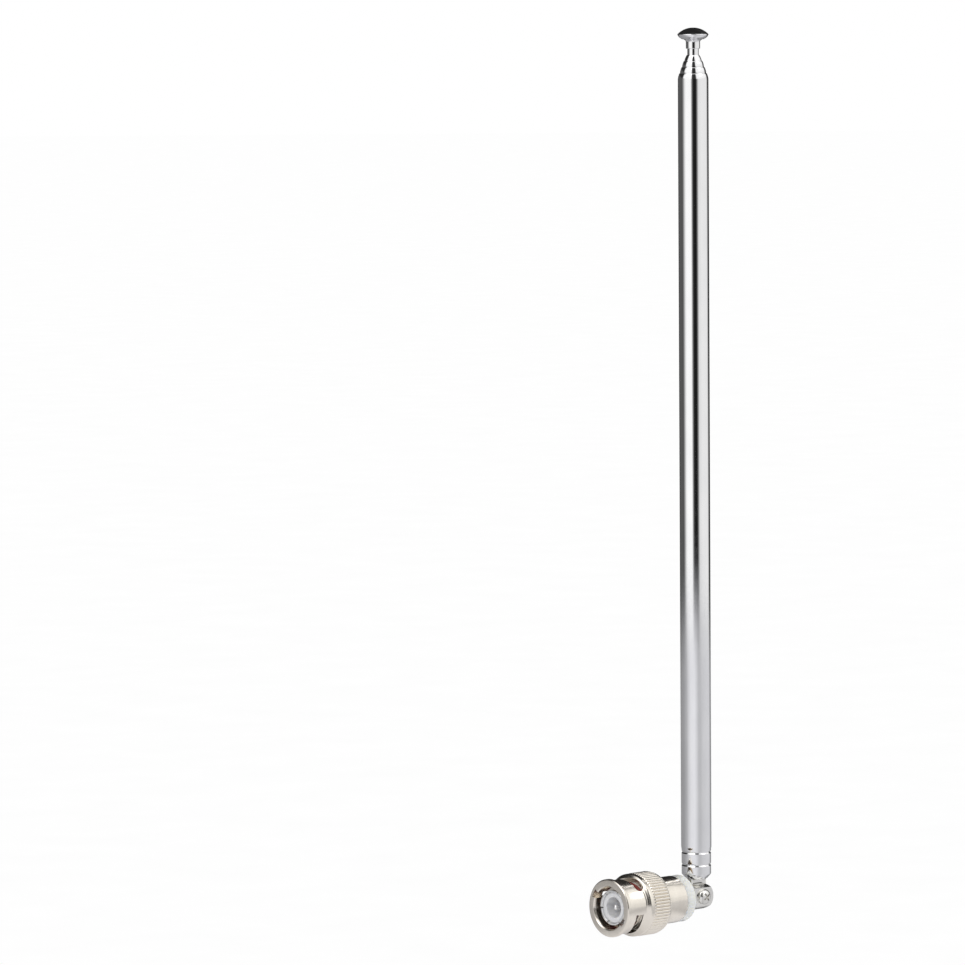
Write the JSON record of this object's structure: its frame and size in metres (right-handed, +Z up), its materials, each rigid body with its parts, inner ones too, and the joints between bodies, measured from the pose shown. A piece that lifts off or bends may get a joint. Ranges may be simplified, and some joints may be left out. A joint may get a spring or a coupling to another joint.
{
  "type": "telescopic whip antenna",
  "caption": "Chrome telescopic whip antenna on a right-angle folding knuckle, with a bayonet coaxial plug and knurled coupling nut at its foot.",
  "frame": {"origin": "on the plug axis, at the front edge of the slotted contact ferrule", "axes": "-X is the mating direction of the plug, +Z runs up the folded-up whip, the knuckle screw lies along Y with its head towards -Y"},
  "size_m": [0.0314, 0.0144, 0.2071],
  "materials": {
    "whip_chrome": "bright chrome plate, polished",
    "knuckle_chrome": "chrome plate, slightly hazy",
    "nickel_plate": "warm nickel plate, turned and knurled",
    "contact_silver": "silver-white contact plate, satin",
    "milky_insulator": "milky translucent moulded plastic",
    "white_insulator": "satin white fluoropolymer",
    "red_silicone": "dark brick-red silicone rubber",
    "spring_bronze": "phosphor bronze strip",
    "zinc_steel": "bright zinc plate"
  },
  "bodies": {
    "connector": {"connector_body": "nickel_plate", "contact_ferrule": "contact_silver", "front_insulator": "white_insulator", "center_pin": "contact_silver", "face_gasket": "red_silicone", "wave_washer": "spring_bronze", "rear_sleeve": "nickel_plate", "rear_insulator": "milky_insulator", "stud_washer": "zinc_steel", "stud_nut": "zinc_steel", "knuckle_fork": "knuckle_chrome", "knuckle_screw": "knuckle_chrome", "friction_washers": "spring_bronze"},
    "nut_carrier": {"thrust_washer": "zinc_steel", "retaining_ring": "spring_bronze"},
    "coupling_nut": {"coupling_nut": "nickel_plate"},
    "whip_base": {"base_plug": "knuckle_chrome", "whip_tube_1": "whip_chrome"},
    "whip_section_2": {"whip_tube_2": "whip_chrome", "friction_sleeve_2": "spring_bronze"},
    "whip_section_3": {"whip_tube_3": "whip_chrome", "friction_sleeve_3": "spring_bronze"},
    "whip_section_4": {"whip_tube_4": "whip_chrome", "friction_sleeve_4": "spring_bronze"},
    "whip_section_5": {"whip_rod": "whip_chrome", "friction_sleeve_5": "spring_bronze", "tip_knob": "whip_chrome"}
  },
  "joints": [
    {"name": "coupling_float", "type": "slide", "parent": "connector", "child": "nut_carrier", "axis": [-1, 0, 0], "range_m": [0, 0.00055], "stiffness_N_per_m": 2000, "springref_m": -0.0005},
    {"name": "coupling_turn", "type": "hinge", "parent": "nut_carrier", "child": "coupling_nut", "pos_m": [0.005, 0, 0], "axis": [-1, 0, 0], "continuous": true},
    {"name": "knuckle_tilt", "type": "hinge", "parent": "connector", "child": "whip_base", "pos_m": [0.0266, 0, 0], "axis": [0, 1, 0], "range_deg": [-12, 192]},
    {"name": "section_2_slide", "type": "slide", "parent": "whip_base", "child": "whip_section_2", "axis": [0, 0, 1], "range_m": [0, 0.16]},
    {"name": "section_3_slide", "type": "slide", "parent": "whip_section_2", "child": "whip_section_3", "axis": [0, 0, 1], "range_m": [0, 0.16]},
    {"name": "section_4_slide", "type": "slide", "parent": "whip_section_3", "child": "whip_section_4", "axis": [0, 0, 1], "range_m": [0, 0.16]},
    {"name": "section_5_slide", "type": "slide", "parent": "whip_section_4", "child": "whip_section_5", "axis": [0, 0, 1], "range_m": [0, 0.16]}
  ]
}
